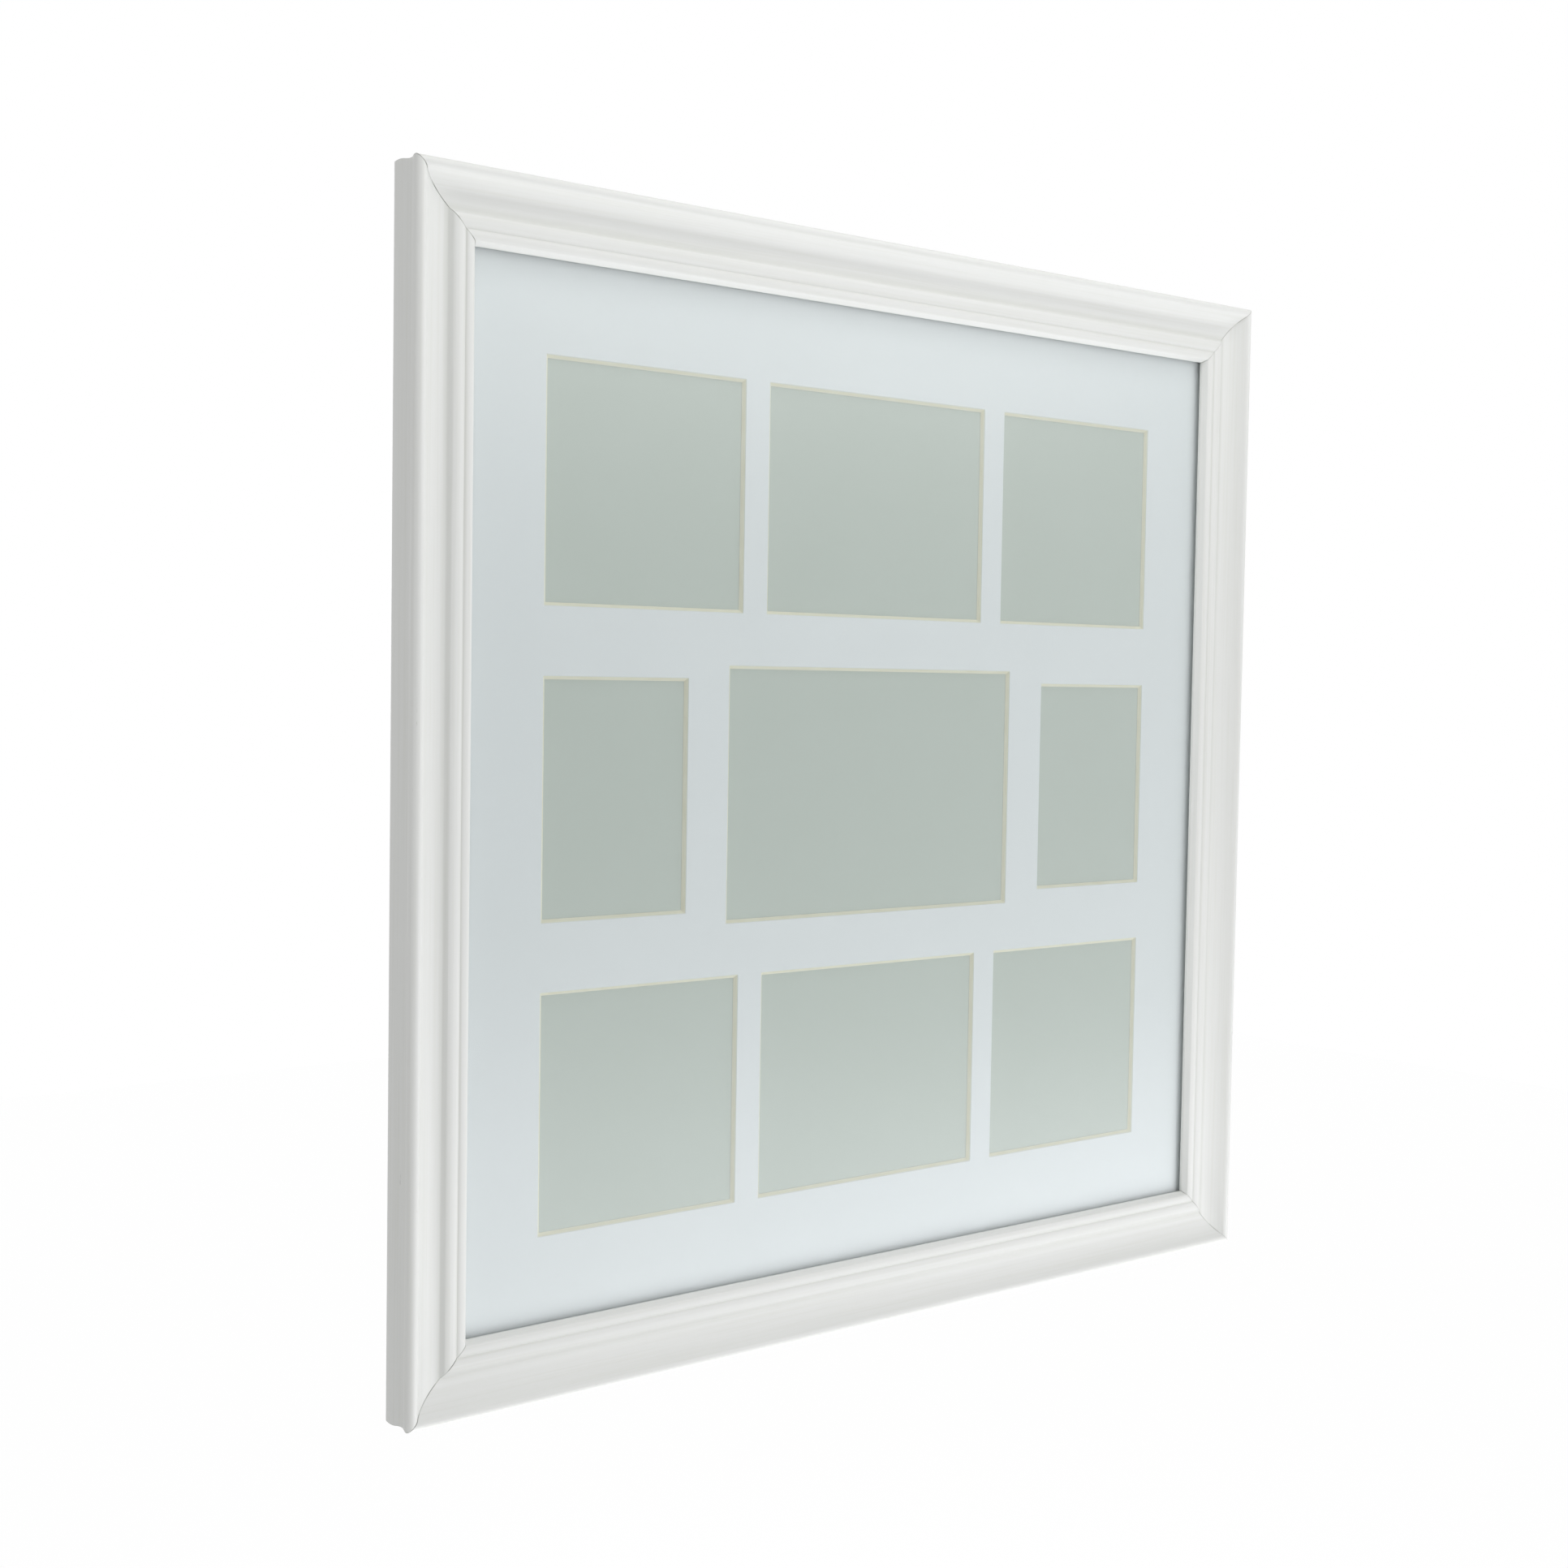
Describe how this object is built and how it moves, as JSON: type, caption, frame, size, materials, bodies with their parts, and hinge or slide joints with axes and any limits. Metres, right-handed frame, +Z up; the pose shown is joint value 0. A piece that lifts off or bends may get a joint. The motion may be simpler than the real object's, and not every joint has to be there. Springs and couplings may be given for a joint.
{
  "type": "collage photo frame",
  "caption": "Square wall-hung collage picture frame with mitred moulding, a clear front sheet, a mount with bevelled windows and a turn-button back.",
  "frame": {"origin": "middle of the outer box, hangers included: mid-width, mid-height and mid-depth", "axes": "+Z up and +X to the right as the frame hangs and is looked at; it faces -Y, and +Y points into the wall"},
  "size_m": [0.4424, 0.0188, 0.4424],
  "materials": {
    "painted_moulding": "satin off-white paint over fine grain",
    "clear_sheet": "polished",
    "mount_card": "smooth off-white card with a cream core",
    "insert_paper": "matt pale grey-green",
    "fibreboard": "brown hardboard",
    "bright_strip_steel": "bright",
    "zinc_steel": "zinc plated",
    "nickel_plate": "nickel plated",
    "nickel_wire": "nickel plated"
  },
  "bodies": {
    "root": {"rail_top": "painted_moulding", "rail_bottom": "painted_moulding", "rail_left": "painted_moulding", "rail_right": "painted_moulding", "corner_v_nails": "bright_strip_steel", "glass_sheet": "clear_sheet", "mount_board": "mount_card", "insert_sheet": "insert_paper", "backing_board": "fibreboard", "hanger_plate_top": "nickel_plate", "hanger_plate_side": "nickel_plate", "hanger_rivets": "zinc_steel", "button_screws": "zinc_steel"},
    "turn_button_top_left": {"turn_button_top_left": "zinc_steel"},
    "turn_button_top_right": {"turn_button_top_right": "zinc_steel"},
    "turn_button_right_upper": {"turn_button_right_upper": "zinc_steel"},
    "turn_button_right_lower": {"turn_button_right_lower": "zinc_steel"},
    "turn_button_bottom_right": {"turn_button_bottom_right": "zinc_steel"},
    "turn_button_bottom_left": {"turn_button_bottom_left": "zinc_steel"},
    "turn_button_left_lower": {"turn_button_left_lower": "zinc_steel"},
    "turn_button_left_upper": {"turn_button_left_upper": "zinc_steel"},
    "hanger_ring_top": {"hanger_ring_top": "nickel_wire"},
    "hanger_ring_side": {"hanger_ring_side": "nickel_wire"}
  },
  "joints": [
    {"name": "top_left_button_turn", "type": "hinge", "parent": "root", "child": "turn_button_top_left", "pos_m": [-0.115, 0.00646, 0.207], "axis": [0, 1, 0], "range_deg": [-118, 118]},
    {"name": "top_right_button_turn", "type": "hinge", "parent": "root", "child": "turn_button_top_right", "pos_m": [0.115, 0.00646, 0.207], "axis": [0, 1, 0], "range_deg": [-118, 118]},
    {"name": "right_upper_button_turn", "type": "hinge", "parent": "root", "child": "turn_button_right_upper", "pos_m": [0.207, 0.00646, 0.115], "axis": [0, 1, 0], "range_deg": [-118, 118]},
    {"name": "right_lower_button_turn", "type": "hinge", "parent": "root", "child": "turn_button_right_lower", "pos_m": [0.207, 0.00646, -0.115], "axis": [0, 1, 0], "range_deg": [-118, 118]},
    {"name": "bottom_right_button_turn", "type": "hinge", "parent": "root", "child": "turn_button_bottom_right", "pos_m": [0.115, 0.00646, -0.207], "axis": [0, 1, 0], "range_deg": [-118, 118]},
    {"name": "bottom_left_button_turn", "type": "hinge", "parent": "root", "child": "turn_button_bottom_left", "pos_m": [-0.115, 0.00646, -0.207], "axis": [0, 1, 0], "range_deg": [-118, 118]},
    {"name": "left_lower_button_turn", "type": "hinge", "parent": "root", "child": "turn_button_left_lower", "pos_m": [-0.207, 0.00646, -0.115], "axis": [0, 1, 0], "range_deg": [-118, 118]},
    {"name": "left_upper_button_turn", "type": "hinge", "parent": "root", "child": "turn_button_left_upper", "pos_m": [-0.207, 0.00646, 0.115], "axis": [0, 1, 0], "range_deg": [-118, 118]},
    {"name": "top_ring_swing", "type": "hinge", "parent": "root", "child": "hanger_ring_top", "pos_m": [0, 0.00771, 0.185], "axis": [1, 0, 0], "range_deg": [0, 180]},
    {"name": "side_ring_swing", "type": "hinge", "parent": "root", "child": "hanger_ring_side", "pos_m": [0.186, 0.00771, 0], "axis": [0, 0, -1], "range_deg": [0, 180]}
  ]
}
